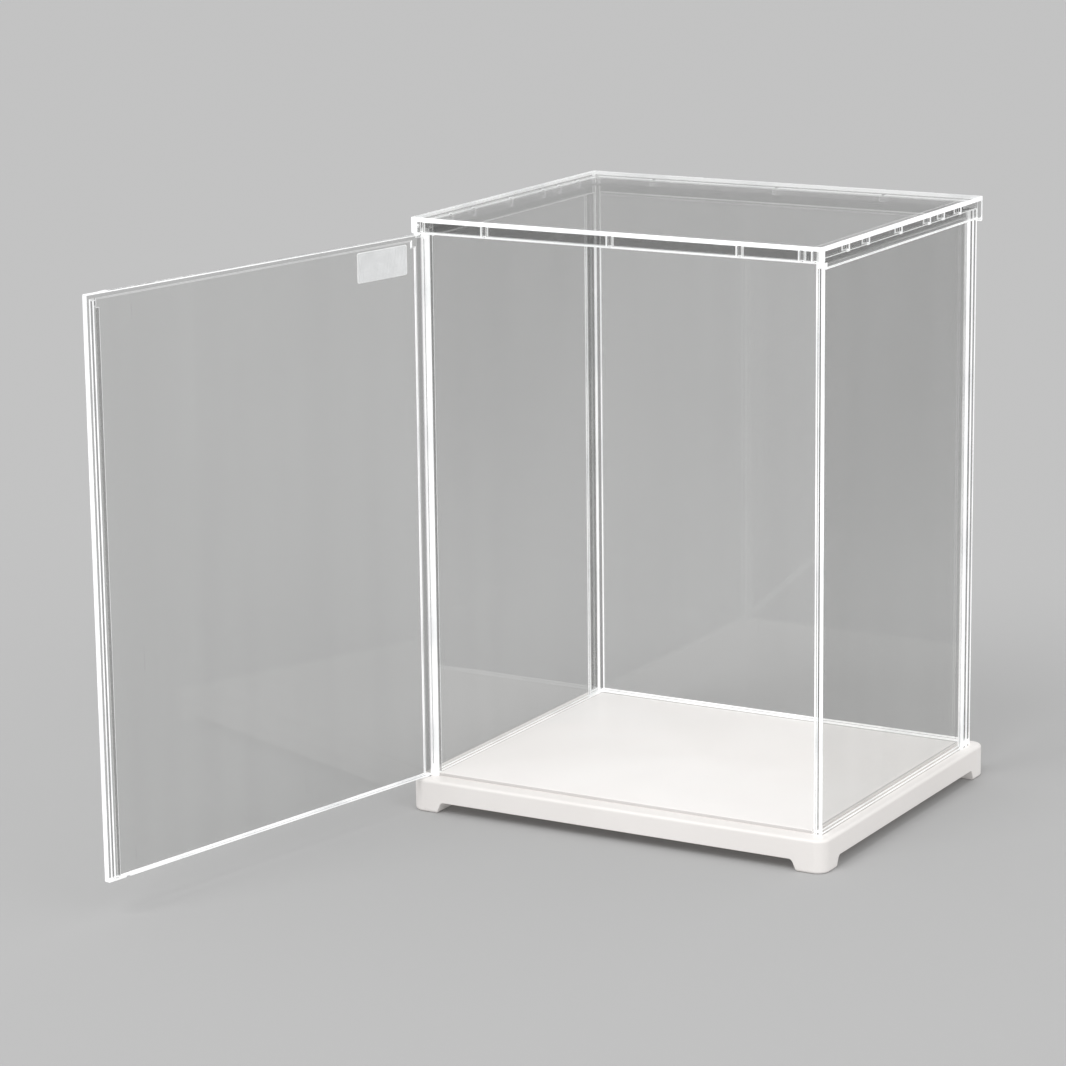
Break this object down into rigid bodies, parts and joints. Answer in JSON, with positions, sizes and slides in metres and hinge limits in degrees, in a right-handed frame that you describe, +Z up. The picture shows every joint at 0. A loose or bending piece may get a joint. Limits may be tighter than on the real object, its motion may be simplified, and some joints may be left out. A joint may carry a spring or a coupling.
{
  "type": "display box",
  "caption": "Clear display box with a white footed base, a raised display floor, clear walls, a skirted clear lid and a clear hinged front door.",
  "frame": {"origin": "centre of the display floor's top face", "axes": "+Z up and out of the display floor, +X from the door's hinge side to its free side, +Y from the front to the back"},
  "size_m": [0.2424, 0.3643, 0.273],
  "materials": {
    "white_plastic": "fine satin moulding",
    "clear_plastic": "clear, polished faces with bright edges",
    "frosted_plate": "frosted, blank"
  },
  "bodies": {
    "case": {"base": "white_plastic", "display_floor": "white_plastic", "left_panel": "clear_plastic", "right_panel": "clear_plastic", "back_panel": "clear_plastic", "lid": "clear_plastic"},
    "door": {"door_panel": "clear_plastic", "door_nameplate": "frosted_plate"}
  },
  "joints": [
    {"name": "door_swing", "type": "hinge", "parent": "case", "child": "door", "pos_m": [-0.0986, -0.0818, 0.12], "axis": [0, 0, 1], "range_deg": [-74, 101]}
  ]
}
